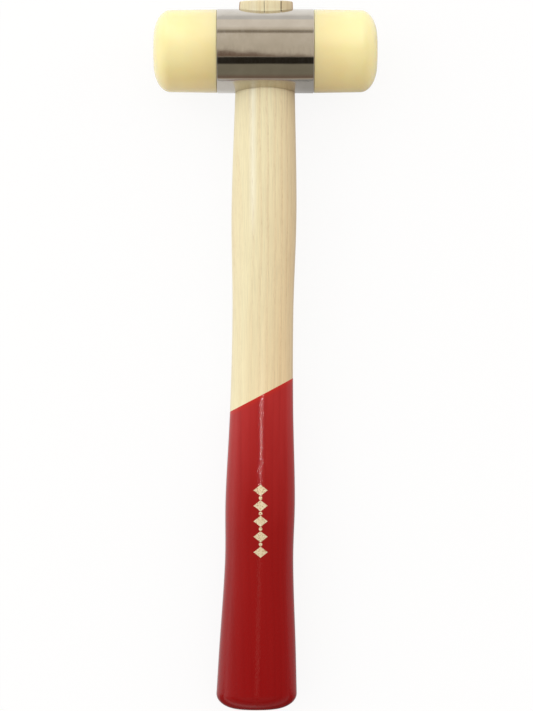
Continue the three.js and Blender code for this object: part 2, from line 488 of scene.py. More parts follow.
def lacquer_coat():
    """A closed thin shell: its outer skin up to the lip, and back down inside."""
    def flat(inset):
        return lambda side, height: inset

    low = butt_ring.height
    count = math.ceil((DIP_HEIGHT - low) / RING_STEP)
    lip_foot = LIP[0][0]
    outer = butt_rings(0)
    for step in range(count):
        share = step / count
        heights = [low + share * (edge - lip_foot - low) for edge in dip_edges]
        outer.append(grip_ring(heights, flat(0)))
    for drop, inset in LIP:
        outer.append(grip_ring([edge - drop for edge in dip_edges], flat(inset)))
    inner = []
    for step in range(count, -1, -1):
        share = step / count
        heights = [low + share * (edge - low) for edge in dip_edges]
        inner.append(grip_ring(heights, flat(COAT_THICKNESS)))
    inner.extend(reversed(butt_rings(COAT_THICKNESS)))
    return tube_solid("lacquer_coat", outer + inner)


def on_front(run, height, rise):
    """A point on the front of the handle, lifted by a rise."""
    width, depth = section(height)
    angle = -math.acos((run - centre(height)) / width)
    return oval_point(height, width, depth, angle, -rise)


def foil_patch(skin, height, half_width, half_height, outline):
    """A thin plate of foil that follows the front of the handle."""
    rings = []
    for step in range(FOIL_STEPS + 1):
        share = 2 * step / FOIL_STEPS - 1
        reach = half_height * max(outline(share), FOIL_TIP)
        run = FOIL_ACROSS + half_width * share
        ring = []
        for up_down, rise in ((-1, FOIL_RISE), (1, FOIL_RISE), (1, -FOIL_RISE), (-1, -FOIL_RISE)):
            ring.append(on_front(run, height + up_down * reach, rise))
        rings.append(ring)
    skin.tube(rings)


def foil_ornament():
    """A plain chain of lozenges with dots between them."""
    skin = Skin()
    for index in range(FOIL_COUNT):
        height = FOIL_HEIGHT + FOIL_PITCH * (index - (FOIL_COUNT - 1) / 2)
        foil_patch(skin, height, *LOZENGE, lambda share: 1 - abs(share))
        if index:
            foil_patch(skin, height - FOIL_PITCH / 2, *DOT, lambda share: math.sqrt(1 - share * share))
    return skin.solid("foil_ornament")


# Head shapes

def on_sleeve(run, turn, radius):
    """A point at a radius from the head's axis, turned toward the back from straight up."""
    return Vector((run, radius * math.sin(turn), HEAD_HEIGHT + radius * math.cos(turn)))


def square(step, steps):
    """A point that walks evenly round the unit square, from the middle of its right side."""
    eighth = steps // 8
    side, along = divmod(step + eighth, 2 * eighth)
    place = along / eighth - 1
    return [(1, place), (-place, 1), (-1, -place), (place, -1)][side % 4]


def eye_point(angle, height, gap):
    width, depth = section(height)
    return Vector((
        centre(height) + (width + gap) * math.cos(angle),
        (depth + gap) * math.sin(angle),
        height,
    ))


def rim_point(angle, side, gap, drop):
    """A point of the eye's rim on the top (side 1) or underside (side -1) of the sleeve."""
    height = HEAD_HEIGHT + side * SLEEVE_RADIUS
    for _ in range(RIM_ROUNDS):
        point = eye_point(angle, height, gap)
        height = HEAD_HEIGHT + side * (math.sqrt(SLEEVE_RADIUS ** 2 - point.y ** 2) - drop)
    point.z = height
    return point


def sleeve_patch(skin, side):
    """The square patch round one opening of the eye. Returns its outer ring and the ring inside its rim."""
    flank = SLEEVE_END - END_CHAMFER
    made = []
    for blend in PATCH_BLEND:
        ring = []
        for step, angle in enumerate(angles(PATCH_STEPS)):
            rim = rim_point(angle, side, EYE_GAP + RIM_RADIUS + RIM_HOLD, 0)
            rim_turn = math.asin(rim.y / SLEEVE_RADIUS)
            edge_run, edge_turn = square(step, PATCH_STEPS)
            run = rim.x + blend * (flank * edge_run - rim.x)
            turn = rim_turn + blend * (PATCH_TURN * edge_turn - rim_turn)
            ring.append(on_sleeve(run, turn if side > 0 else math.pi - turn, SLEEVE_RADIUS))
        made.append(skin.ring(ring))
    for index in range(RIM_STEPS + 1):
        turn = QUARTER * index / RIM_STEPS
        gap = EYE_GAP + RIM_RADIUS * (1 - math.sin(turn))
        drop = RIM_RADIUS * (1 - math.cos(turn))
        made.append(skin.ring([rim_point(angle, side, gap, drop) for angle in angles(PATCH_STEPS)]))
    skin.join(made)
    return made[0], made[-1]


def patch_side(ring, side):
    """The points along one side of a patch."""
    eighth = len(ring) // 8
    first = (2 * side - 1) * eighth
    return [ring[(first + step) % len(ring)] for step in range(2 * eighth + 1)]


def eye_wall(skin, top_rim, bottom_rim):
    wall = [top_rim]
    for share in EYE_LEVELS:
        height = HEAD_HEIGHT + share * SLEEVE_RADIUS
        wall.append(skin.ring([eye_point(angle, height, EYE_GAP) for angle in angles(PATCH_STEPS)]))
    wall.append(bottom_rim)
    skin.join(wall)


def sleeve_flank(skin, top, bottom, side, direction):
    """The back (direction 1) or front (-1) between the patches. Returns its right (1) and left (-1) edges."""
    made = [patch_side(top, side)]
    runs = [skin.points[index].x for index in made[0]]
    for step in range(1, PATCH_SIDE):
        turn = PATCH_TURN + (math.pi - 2 * PATCH_TURN) * step / PATCH_SIDE
        made.append(skin.ring([on_sleeve(run, direction * turn, SLEEVE_RADIUS) for run in runs]))
    made.append(patch_side(bottom, side))
    skin.join(made, closed=False)
    inner = made[1:-1]
    return {direction: [row[0] for row in inner], -direction: [row[-1] for row in inner]}


def sleeve_end(skin, loop, direction):
    """One end of the sleeve inside its edge loop, with a chamfer and a blind bore for a stud."""
    turns = [math.atan2(skin.points[index].y, skin.points[index].z - HEAD_HEIGHT) for index in loop]
    bore = STUD_RADIUS + BORE_GAP
    bore_end = section(HEAD_HEIGHT)[0] + EYE_GAP + BORE_WEB
    rings = [loop]
    for run, radius in (
        (SLEEVE_END, SLEEVE_RADIUS - END_CHAMFER),
        (SLEEVE_END, bore + END_CHAMFER),
        (SLEEVE_END - END_CHAMFER, bore),
        (bore_end, bore),
    ):
        rings.append(skin.ring([on_sleeve(direction * run, turn, radius) for turn in turns]))
    skin.join(rings)
    skin.cap(rings[-1])


def sleeve():
    skin = Skin()
    top, top_rim = sleeve_patch(skin, 1)
    bottom, bottom_rim = sleeve_patch(skin, -1)
    eye_wall(skin, top_rim, bottom_rim)
    back = sleeve_flank(skin, top, bottom, BACK, 1)
    front = sleeve_flank(skin, top, bottom, FRONT, -1)
    for direction, side in ((1, RIGHT), (-1, LEFT)):
        top_edge = patch_side(top, side)[::direction]
        bottom_edge = patch_side(bottom, side)[::-direction]
        sleeve_end(skin, top_edge + back[direction] + bottom_edge + front[direction][::-1], direction)
    return skin.solid("sleeve_shell")


def thread_radius(run, angle, direction):
    """Radius of a right-hand thread: flanks with a narrow crest and a wider root."""
    phase = (run / THREAD_PITCH - direction * angle / (2 * math.pi)) % 1
    height = within((abs(2 * phase - 1) - THREAD_ROOT) / THREAD_FLANKS)
    crest = STUD_RADIUS - THREAD_GAP
    end = min(run - STUD_START, STUD_END - run)
    bevel = crest - max(STUD_CHAMFER - end, 0)
    return min(crest - THREAD_DEPTH * (1 - height), bevel)


def stud(direction, name):
    count = math.ceil((STUD_END - STUD_START) / THREAD_PITCH * THREAD_STEPS)
    rings = []
    for step in range(count + 1):
        run = STUD_START + (STUD_END - STUD_START) * step / count
        ring = []
        for angle in angles(STUD_SIDES):
            ring.append(on_sleeve(direction * run, angle, thread_radius(run, angle, direction)))
        rings.append(ring)
    return tube_solid(name, rings)


def nylon_face(direction, name):
    """A turned striking face: its stud hole, its rounded shoulder, a slight draft and the dome."""
    hole = STUD_RADIUS + FACE_HOLE_GAP
    dome_foot = FACE_END - DOME_DEPTH
    dome_radius = FACE_RADIUS - FACE_DRAFT
    barrel_foot = FACE_SHOULDER + FACE_EDGE
    profile = [(STUD_END + FACE_HOLE_END, hole), (barrel_foot, hole), (FACE_SHOULDER, hole + FACE_EDGE)]
    for step in range(RIM_STEPS + 1):
        turn = QUARTER * step / RIM_STEPS
        run = FACE_SHOULDER + FACE_EDGE * (1 - math.cos(turn))
        profile.append((run, FACE_RADIUS - FACE_EDGE * (1 - math.sin(turn))))
    for share in BARREL_LEVELS:
        profile.append((barrel_foot + share * (dome_foot - barrel_foot), FACE_RADIUS - share * FACE_DRAFT))
    for step in range(DOME_STEPS + 1):
        turn = QUARTER * step / DOME_STEPS
        radius = LAND_RADIUS + (dome_radius - LAND_RADIUS) * math.cos(turn)
        profile.append((dome_foot + DOME_DEPTH * math.sin(turn), radius))
    for share in LAND_LEVELS:
        profile.append((FACE_END, share * LAND_RADIUS))
    rings = []
    for run, radius in profile:
        rings.append([on_sleeve(direction * run, turn, radius) for turn in angles(FACE_SIDES)])
    return tube_solid(name, rings)


# Node helpers

def node(tree, kind, inputs=None, **settings):
    """A new node with its settings, and with its inputs set or linked."""
    made = tree.nodes.new(kind)
    for name, value in settings.items():
        setattr(made, name, value)
    for key, value in (inputs or {}).items():
        if isinstance(value, bpy.types.NodeSocket):
            tree.links.new(value, made.inputs[key])
        else:
            made.inputs[key].default_value = value
    return made


def maths(tree, operation, first, second=0.0, third=0.0, clamp=False):
    inputs = {0: first, 1: second, 2: third}
    return node(tree, "ShaderNodeMath", inputs, operation=operation, use_clamp=clamp).outputs[0]


def times(tree, first, second):
    return maths(tree, "MULTIPLY", first, second)


def nearness(tree, distance, reach):
    """1 where the distance is 0, falling to 0 at the reach."""
    return maths(tree, "SUBTRACT", 1.0, maths(tree, "DIVIDE", distance, reach), clamp=True)


def vectors(tree, operation, first, second):
    return node(tree, "ShaderNodeVectorMath", {0: first, 1: second}, operation=operation).outputs


def parts_of(tree, vector):
    """The X, Y and Z of a vector."""
    return node(tree, "ShaderNodeSeparateXYZ", {0: vector}).outputs


def rgba(colour):
    """All four numbers of a colour, from a grey or from three numbers. A socket stays as it is."""
    if isinstance(colour, bpy.types.NodeSocket):
        return colour
    if isinstance(colour, tuple):
        return (*colour, 1)
    return (colour, colour, colour, 1)


def blend_colours(tree, factor, first, second, blend_type="MIX"):
    inputs = {0: factor, 6: rgba(first), 7: rgba(second)}
    return node(tree, "ShaderNodeMix", inputs, data_type="RGBA", blend_type=blend_type).outputs[2]


def ramp(tree, factor, stops):
    """A colour ramp from (place, colour) stops."""
    made = node(tree, "ShaderNodeValToRGB", {0: factor})
    elements = made.color_ramp.elements
    while len(elements) < len(stops):
        elements.new(1)
    for element, (place, colour) in zip(elements, stops):
        element.position = place
        element.color = rgba(colour)
    return made.outputs[0]


def signed_ramp(tree, value, stops, reach=1):
    """A colour ramp over values from minus the reach to the reach."""
    half = maths(tree, "MULTIPLY_ADD", value, 0.5 / reach, 0.5)
    return ramp(tree, half, [(0.5 + place / reach / 2, colour) for place, colour in stops])


def stretched(tree, place, scale):
    """The place in millimetres, scaled for each axis."""
    return vectors(tree, "MULTIPLY", place, tuple(one / MM for one in scale))[0]


def millimetres(tree, place):
    """How far a place lies to the right, along to the head and up, in the frame's millimetres."""
    return parts_of(tree, stretched(tree, place, (1, 1, 1)))


def noise(tree, place, scale, detail=2.0, roughness=0.5):
    """Noise over the object's own place, with features that many to a millimetre along each axis."""
    made = node(
        tree,
        "ShaderNodeTexNoise",
        {"Vector": stretched(tree, place, scale), "Scale": 1.0, "Detail": detail, "Roughness": roughness},
    )
    return made.outputs["Fac"]


def bump(tree, height, distance, strength, normal=None):
    """A bump whose full height is a distance in millimetres."""
    inputs = {"Height": height, "Distance": distance * MM, "Strength": strength}
    if normal is not None:
        inputs["Normal"] = normal
    return node(tree, "ShaderNodeBump", inputs).outputs[0]


def new_finish(name, **values):
    """A material with one Principled shader. Returns it, its tree, its shader and the object's own place."""
    made = bpy.data.materials.new(name)
    made.use_nodes = True
    tree = made.node_tree
    shader = tree.nodes["Principled BSDF"]
    for key, value in values.items():
        shader.inputs[key.replace("_", " ")].default_value = value
    place = node(tree, "ShaderNodeTexCoord").outputs["Object"]
    return made, tree, shader, place


def wire(shader, **values):
    """Links sockets to a shader's inputs."""
    for key, value in values.items():
        shader.id_data.links.new(value, shader.inputs[key.replace("_", " ")])


# Finishes, in the frame's millimetres. The handle lies along Y, so wood grain is stretched along Y.

WOOD_LIGHT = (0.89, 0.81, 0.52)
WOOD_WARM = (0.81, 0.55, 0.285)
WARM_SHADE_ACROSS, WARM_CLOUDS = 0.03, 0.55  # the wood is warmer and darker to the right, a painted shade, and warmer in clouds
LIGHT_PAINTED_ALONG = 0.0028  # and lighter and cooler toward the head, a painted light
WOOD_RIGHT_SHADE = (0.50, 0.40, 0.26)
RIGHT_SHADE_FROM, RIGHT_SHADE_TO = 7.0, 12.0  # across the handle, where the painted shade on its right side begins and is full
RIGHT_SHADE_SHARE = 0.35
WOOD_PAINTED_SHEEN = (0.97, 0.94, 0.74)
SHEEN_ACROSS, SHEEN_HALF = -5.2, 1.9  # a painted highlight, a pale streak of sheen: its place across and half its width
SHEEN_ALONG = [(45, 0), (65, 1), (110, 1), (120, 0.5)]  # how clear it is along the handle
SHEEN_SHARE = 0.8
WOOD_PORE = (0.46, 0.30, 0.14)
PORE_SHARE = 0.46
PORES_BETWEEN = 0.12  # how strong the pores are between the growth rings
STUB_SHADE_FROM = 143  # along the handle, where the painted shade on the end that stands out of the head begins
STUB_SHADE_SHARE = [(0.6, 0.18), (0.66, 0.36)]  # by centimetres to the right
CENTIMETRES = 0.1  # in a millimetre

# Growth rings
PITH = (52, 0, -26)  # the middle of the tree, beside and behind the handle
RING_SPACING = 2.3
RING_WANDER = 5.0
EARLY_WOOD = [(0, 0.1), (0.08, 1), (0.22, 0.75), (0.45, 0.22), (0.8, 0), (1, 0.1)]  # through one ring
WOOD_LINE = (0.68, 0.45, 0.22)
LINE_SHARE = 0.40
LINE_CLEAR = [(-8, 0.5), (6, 1)]  # the rings are fainter on the left
LINE_REACH = 10
FIBRE_RELIEF, LINE_RELIEF = 0.5, 0.35


def grain(tree, place):
    """How dark the early wood of the growth rings is, from 0 to 1."""
    sway = maths(tree, "SUBTRACT", noise(tree, place, (0.05, 0.009, 0.05)), 0.5)
    away = vectors(tree, "DISTANCE", stretched(tree, place, (1, 0, 1)), PITH)["Value"]
    away = maths(tree, "ADD", away, times(tree, sway, RING_WANDER))
    phase = maths(tree, "FRACT", maths(tree, "DIVIDE", away, RING_SPACING))
    fade = ramp(tree, noise(tree, place, (0.22, 0.012, 0.22), detail=1.0), [(0.3, 0.15), (0.68, 1)])
    return times(tree, ramp(tree, phase, EARLY_WOOD), fade)


def ash_finish():
    finish, tree, shader, place = new_finish(
        "ash_wood", Roughness=0.42, Coat_Weight=0.45, Coat_Roughness=0.24, Coat_IOR=1.45
    )
    right, along, _ = millimetres(tree, place)
    fibres = noise(tree, place, (3.4, 0.05, 3.4), detail=3.0, roughness=0.6)
    clouds = noise(tree, place, (0.09, 0.012, 0.09))
    early = times(tree, grain(tree, place), signed_ramp(tree, right, LINE_CLEAR, LINE_REACH))
    pores = ramp(tree, noise(tree, place, (6.5, 0.3, 6.5), detail=1.0), [(0.57, 0), (0.67, 1)])
    pores = times(tree, pores, maths(tree, "ADD", early, PORES_BETWEEN, clamp=True))
    # Painted shade: warmer and darker toward the right; the clouds are the wood's own tone.
    warmth_and_shade = maths(tree, "ADD", times(tree, right, WARM_SHADE_ACROSS), times(tree, clouds, WARM_CLOUDS))
    # Painted light: the wood lighter toward the head.
    warmth_and_shade = maths(tree, "SUBTRACT", warmth_and_shade, times(tree, along, LIGHT_PAINTED_ALONG), clamp=True)
    base = blend_colours(tree, warmth_and_shade, WOOD_LIGHT, WOOD_WARM)
    # Painted shade: darker and greyer over the right edge of the handle.
    right_shade = maths(tree, "SUBTRACT", right, RIGHT_SHADE_FROM)
    right_shade = maths(tree, "DIVIDE", right_shade, RIGHT_SHADE_TO - RIGHT_SHADE_FROM, clamp=True)
    base = blend_colours(tree, times(tree, right_shade, RIGHT_SHADE_SHARE), base, WOOD_RIGHT_SHADE)
    base = blend_colours(tree, times(tree, early, LINE_SHARE), base, WOOD_LINE)
    # Painted highlight: a pale streak of sheen left of the middle, on the upper grip.
    aside = maths(tree, "ABSOLUTE", maths(tree, "SUBTRACT", right, SHEEN_ACROSS))
    sheen = times(tree, nearness(tree, aside, SHEEN_HALF), signed_ramp(tree, along, SHEEN_ALONG, 1 / MM))
    base = blend_colours(tree, times(tree, sheen, SHEEN_SHARE), base, WOOD_PAINTED_SHEEN)
    streaks = ramp(tree, fibres, [(0.3, 0.90), (0.55, 1), (0.75, 1.05)])
    base = blend_colours(tree, 1.0, base, streaks, "MULTIPLY")
    base = blend_colours(tree, times(tree, pores, PORE_SHARE), base, WOOD_PORE)
    # Painted shade: the stub darker than the grip, most on its right side.
    stub_shade = maths(tree, "SUBTRACT", along, STUB_SHADE_FROM, clamp=True)
    stub_shade = times(tree, stub_shade, ramp(tree, times(tree, right, CENTIMETRES), STUB_SHADE_SHARE))
    base = blend_colours(tree, stub_shade, base, WOOD_PORE)
    relief = maths(tree, "SUBTRACT", times(tree, fibres, FIBRE_RELIEF), pores)
    wire(shader, Base_Color=base, Normal=bump(tree, relief, distance=0.03, strength=0.6))
    return finish


WEDGE_WOOD = [(0.3, (0.36, 0.22, 0.11)), (0.5, (0.52, 0.34, 0.18)), (0.72, (0.62, 0.44, 0.25))]


def wedge_wood_finish():
    finish, tree, shader, place = new_finish("wedge_wood", Roughness=0.6)
    fibres = noise(tree, place, (4.0, 0.2, 4.0), detail=3.0, roughness=0.6)
    skin = bump(tree, fibres, distance=0.05, strength=0.6)
    wire(shader, Base_Color=ramp(tree, fibres, WEDGE_WOOD), Normal=skin)
    return finish


LACQUER_DEEP = (0.28, 0.006, 0.006)
LACQUER_RED = (0.31, 0.010, 0.009)
LACQUER_LIT = (0.43, 0.028, 0.027)  # toward the upper edge, a painted light where the upper grip is more lit
LACQUER_LINE = (0.17, 0.003, 0.004)  # over the growth rings
LACQUER_LINE_SHARE = 0.16
LACQUER_EDGE = (0.52, 0.028, 0.020)  # on the edge itself
EDGE_FADE = 2.2
LIT_LOW, LIT_HIGH = -140, -15  # along the handle, where the deepest red and the lightest, most lit red lie
TONE_CLOUDS = 0.5


def dip_nearness(tree, place):
    """1 on the slanting edge of the coat, falling to 0 a little below it."""
    edge = laid @ Vector((0, 0, DIP_HEIGHT * MM))
    down = (turned_down @ Vector((DIP_SLOPE, 0, -1))).normalized()
    offset = vectors(tree, "SUBTRACT", place, tuple(edge))[0]
    below = vectors(tree, "DOT_PRODUCT", offset, tuple(down / MM))["Value"]
    return nearness(tree, below, EDGE_FADE)


def lacquer_finish():
    finish, tree, shader, place = new_finish(
        "red_lacquer",
        Roughness=0.3,
        Specular_IOR_Level=0.0,
        Coat_Weight=1.0,
        Coat_Roughness=0.08,
        Coat_IOR=1.42,
    )
    early = grain(tree, place)
    clouds = maths(tree, "SUBTRACT", noise(tree, place, (0.12, 0.02, 0.12), detail=3.0), 0.5)
    # Painted light: the red lighter toward the upper edge; the clouds are the coat's own tone.
    lit_along = maths(tree, "SUBTRACT", millimetres(tree, place)["Y"], LIT_LOW)
    lit_along = maths(tree, "DIVIDE", lit_along, LIT_HIGH - LIT_LOW)
    lit_along = maths(tree, "ADD", lit_along, times(tree, clouds, TONE_CLOUDS))
    base = ramp(tree, lit_along, [(0, LACQUER_DEEP), (0.55, LACQUER_RED), (1, LACQUER_LIT)])
    base = blend_colours(tree, times(tree, early, LACQUER_LINE_SHARE), base, LACQUER_LINE)
    base = blend_colours(tree, dip_nearness(tree, place), base, LACQUER_EDGE)
    fibres = times(tree, noise(tree, place, (2.2, 0.06, 2.2)), FIBRE_RELIEF)
    relief = maths(tree, "SUBTRACT", fibres, times(tree, early, LINE_RELIEF))
    skin = bump(tree, relief, distance=0.012, strength=0.7)
    peel = noise(tree, place, (1.1, 0.9, 1.1), roughness=0.6)
    skin = bump(tree, peel, distance=0.065, strength=1.0, normal=skin)
    wire(shader, Base_Color=base, Normal=skin, Coat_Normal=skin)
    return finish


FOIL_GOLD = [(0.34, (0.46, 0.21, 0.10)), (0.44, (0.88, 0.70, 0.42)), (0.66, (0.96, 0.88, 0.66))]


def foil_finish():
    finish, tree, shader, place = new_finish("foil", Metallic=0.3)
    wear = noise(tree, place, (2.0, 2.0, 2.0), detail=3.0, roughness=0.65)
    wire(
        shader,
        Base_Color=ramp(tree, wear, FOIL_GOLD),
        Roughness=ramp(tree, wear, [(0.35, 0.55), (0.65, 0.28)]),
        Normal=bump(tree, wear, distance=0.01, strength=0.5),
    )
    return finish


NYLON = [(0.3, (0.97, 0.83, 0.41)), (0.55, (0.98, 0.86, 0.45)), (0.8, (0.98, 0.88, 0.49))]
NYLON_GLOW = (1.0, 0.75, 0.35)  # how far red, green and blue light travel inside it, in shares of the scale
NYLON_JOINT_SHADE = (0.58, 0.49, 0.26)  # painted shade beside the sleeve, where the faces meet it
JOINT_SHADE_REACH = 14.0
JOINT_SHADE_SHARE = 0.36
GRIT_RELIEF = 0.4


def nylon_finish():
    finish, tree, shader, place = new_finish(
        "nylon", IOR=1.53, Subsurface_Weight=0.35, Subsurface_Scale=0.004, Subsurface_Radius=NYLON_GLOW
    )
    base = ramp(tree, noise(tree, place, (0.06, 0.06, 0.06), detail=3.0), NYLON)
    # Painted shade: the nylon darker near the sleeve, fading over the reach.
    away = maths(tree, "ABSOLUTE", millimetres(tree, place)["X"])
    away = maths(tree, "SUBTRACT", away, FACE_SHOULDER)
    joint_shade = times(tree, nearness(tree, away, JOINT_SHADE_REACH), JOINT_SHADE_SHARE)
    turning = noise(tree, place, (3.2, 0.05, 0.05))
    grit = noise(tree, place, (1.6, 1.6, 1.6))
    relief = maths(tree, "ADD", turning, times(tree, grit, GRIT_RELIEF))
    wire(
        shader,
        Base_Color=blend_colours(tree, joint_shade, base, NYLON_JOINT_SHADE),
        Roughness=ramp(tree, grit, [(0.3, 0.13), (0.7, 0.19)]),
        Normal=bump(tree, relief, distance=0.012, strength=0.5),
    )
    return finish


CHROME = [(0.3, (0.55, 0.51, 0.45)), (0.7, (0.60, 0.56, 0.50))]


def chrome_finish():
    finish, tree, shader, place = new_finish("chrome_plate", Metallic=1.0)
    hairlines = noise(tree, place, (5.0, 0.25, 0.25))
    waves = bump(tree, noise(tree, place, (0.05, 0.10, 0.10)), distance=0.06, strength=0.8)
    wire(
        shader,
        Base_Color=ramp(tree, noise(tree, place, (0.16, 0.16, 0.16)), CHROME),
        Roughness=ramp(tree, hairlines, [(0.3, 0.05), (0.7, 0.10)]),
        Normal=bump(tree, hairlines, distance=0.0006, strength=0.5, normal=waves),
    )
    return finish


STEEL = [(0.3, (0.30, 0.30, 0.31)), (0.7, (0.46, 0.46, 0.47))]


def steel_finish():
    finish, tree, shader, place = new_finish("bare_steel", Metallic=1.0)
    clouds = noise(tree, place, (0.7, 0.7, 0.7), detail=3.0, roughness=0.6)
    wire(
        shader,
        Base_Color=ramp(tree, clouds, STEEL),
        Roughness=ramp(tree, clouds, [(0.3, 0.42), (0.7, 0.26)]),
        Normal=bump(tree, clouds, distance=0.01, strength=0.4),
    )
    return finish


# Pieces

steel = steel_finish()
nylon = nylon_finish()
handle_wood, wooden_wedge, steel_wedge = wooden_parts()
dress(handle_wood, ash_finish(), "hammer", "ash_wood", "handle")
dress(wooden_wedge, wedge_wood_finish(), "hammer", "wedge_wood", "wooden_wedge")
dress(steel_wedge, steel, "hammer", "bare_steel", "steel_wedge")
dress(lacquer_coat(), lacquer_finish(), "hammer", "red_lacquer")
dress(foil_ornament(), foil_finish(), "hammer", "red_lacquer")
dress(sleeve(), chrome_finish(), "hammer", "chrome_plate", "head_sleeve")
for side, direction in (("left", -1), ("right", 1)):
    dress(stud(direction, f"{side}_threaded_stud"), steel, f"{side}_stud", "bare_steel", f"{side}_stud")
    dress(nylon_face(direction, f"{side}_nylon_face"), nylon, f"{side}_face", "nylon", f"{side}_face")


# Stage, in the frame's metres

FLOOR_SIZE = 8.0
FLOOR_DROP = 0.0001
FLOOR_PAPER = 0.7  # what the floor gives back as soft light
FLOOR_SEEN_WHITE = 0.88  # share of plain white in the floor that the camera sees, the rest has its shade

# How bright the floor glows in polished surfaces, with painted light and shadow: from beyond the butt to
# beyond the head, and to the right
FLOOR_GLOW_ALONG = [
    (-0.22, 0.65),
    (-0.18, 0.08),
    (-0.155, 0.08),
    (-0.14, 0.75),
    (0.10, 0.85),
    (0.17, 1.1),
    (0.19, 1.1),
    (0.25, 0.78),
]
FLOOR_SHADE_ACROSS = [(-0.02, 1), (0.02, 0.55)]
FLOOR_SHADE_ENDS = [(0.12, 0), (0.15, 1)]  # where the painted shade on its right side ends


def seen_straight(tree, path):
    """1 for what the camera sees, directly or through something clear."""
    return maths(tree, "MAXIMUM", path["Is Camera Ray"], path["Is Transmission Ray"])


def glow(tree, kind, colour, strength=1.0):
    return node(tree, kind, {"Color": rgba(colour), "Strength": strength}).outputs[0]


def mix_shaders(tree, factor, first, second):
    return node(tree, "ShaderNodeMixShader", {0: factor, 1: first, 2: second}).outputs[0]


def table_finish():
    """White to the camera with a trace of its shade, paper to soft light, and in polished surfaces a glow
    with painted light and shadow.
    """
    finish = bpy.data.materials.new("white_table")
    finish.use_nodes = True
    tree = finish.node_tree
    tree.nodes.clear()
    path = node(tree, "ShaderNodeLightPath").outputs
    seen = seen_straight(tree, path)
    colour = blend_colours(tree, seen, FLOOR_PAPER, 1)
    paper = node(tree, "ShaderNodeBsdfDiffuse", {"Color": colour}).outputs[0]
    white = glow(tree, "ShaderNodeEmission", 1)
    shown = mix_shaders(tree, times(tree, seen, FLOOR_SEEN_WHITE), paper, white)
    x, y, _ = parts_of(tree, node(tree, "ShaderNodeTexCoord").outputs["Object"])
    # Painted shadow in the mirrored floor: dim just beyond the butt and on its right, up to the head.
    across = maths(tree, "MAXIMUM", signed_ramp(tree, x, FLOOR_SHADE_ACROSS), signed_ramp(tree, y, FLOOR_SHADE_ENDS))
    brightness = times(tree, signed_ramp(tree, y, FLOOR_GLOW_ALONG), across)
    mirrored = glow(tree, "ShaderNodeEmission", 1, brightness)
    surface = mix_shaders(tree, path["Is Glossy Ray"], shown, mirrored)
    node(tree, "ShaderNodeOutputMaterial", {"Surface": surface})
    return finish


def floor():
    half = FLOOR_SIZE / 2
    sides = [(-half, -half), (half, -half), (half, half), (-half, half)]
    mesh = bpy.data.meshes.new("floor")
    mesh.from_pydata([(x, y, -FLOOR_DROP) for x, y in sides], [], [(0, 1, 2, 3)])
    mesh.materials.append(table_finish())
    made = bpy.data.objects.new("floor", mesh)
    bpy.context.scene.collection.objects.link(made)


# The room that polished surfaces mirror. Bands of colour run over it by the degrees from straight up:
# one set along the handle toward the head's end, one across it toward the right. The rest is bright at the
# horizon, dark halfway up and grey overhead.
HALF_TURN = 180
PALE_WALL = (0.98, 0.92, 0.84)
HORIZON = (0.58, 0.52, 0.44)
BEIGE_WALL = (0.74, 0.67, 0.56)
OLIVE_WALL = (0.25, 0.23, 0.175)
BROWN_SHELF = (0.20, 0.13, 0.095)
DARK_SLOT = (0.30, 0.25, 0.19)
DOORWAY = (0.02, 0.016, 0.01)
BANDS_ALONG = [
    (-90, HORIZON),
    (-84, BROWN_SHELF),
    (-70, OLIVE_WALL),
    (-43, OLIVE_WALL),
    (-40, DOORWAY),
    (-23, DOORWAY),
    (-20, BEIGE_WALL),
    (43, BEIGE_WALL),
    (46, DARK_SLOT),
    (51, DARK_SLOT),
    (56, BEIGE_WALL),
    (66, PALE_WALL),
]
SHELF_EDGE, SHELF_FOOT = -10, -21  # the brown shelf between the doorway and the beige wall
SHELF_SLANT = -540  # how its edge falls to the right
SHELF_BLUR = 5
BANDS_ACROSS = [
    (-90, 1.0),
    (-75, 0.55),
    (-60, 0.24),
    (-30, 0.08),
    (0, 0.045),
    (60, 0.06),
    (80, 0.12),
    (95, 0.3),
]
CORNERS = [(0, 0.95), (0.2, 0.8), (0.4, 0.3), (0.5, 0.12), (0.62, 0.5), (1, 0.62)]  # the rest, by height
BUTT_SIDE = [(-0.25, 0.3), (0.1, 1)]  # the room is darker beyond the butt
ALONG_WIDTH = (0.025, 0.05)  # where the bands along the handle begin to fade, and where they have faded
ACROSS_WIDTH = (0.15, 0.40)

# Skylights that the nylon mirrors: brightness, then their reach across to the right and along to the head
SKYLIGHTS = [
    (1.6, [(-0.70, 0), (-0.55, 1), (-0.06, 1), (-0.035, 0)], [(0.46, 0), (0.50, 1), (0.90, 1), (0.96, 0)]),
    (1.4, [(0.035, 0), (0.06, 1), (0.30, 1), (0.36, 0)], [(0.05, 0), (0.40, 1), (0.90, 1), (0.96, 0)]),
]

# Soft light, from the dim warm side to the bright one
BRIGHT_SIDE = Vector((-0.2, 1, 0))
SOFT_LIGHT = [(-1, (0.22, 0.10, 0.03)), (0, (0.87, 0.85, 0.82)), (1, (1.0, 1.0, 1.0))]
SOFT_STRENGTH = 1.17

WINDOW_PLACE = (-1.05, 0.45, 0.6)
WINDOW_TARGET = (0, 0.05, 0.02)
WINDOW_SIZE = (1.5, 0.9)
WINDOW_POWER = 4.3
FILL_PLACE = (1.1, 0.5, 0.5)
FILL_TARGET = (0, 0.1, 0.02)
FILL_SIZE = (0.8, 0.8)
FILL_POWER = 1.9

# A small spot over the upper grip, for the thin gleam along the lacquer
FLASH_PLACE = (0.0, -0.012, 1.25)
FLASH_TARGET = (0.0, -0.036, 0.03)
FLASH_RADIUS = 0.012
FLASH_CONE = math.radians(4.5)
FLASH_POWER = 1.5
FLASH_BLEND = 0.6  # share of its cone that fades


def degrees_over(tree, tilt, height):
    """The angle from straight up, in degrees."""
    return times(tree, maths(tree, "ARCTAN2", tilt, height), math.degrees(1))


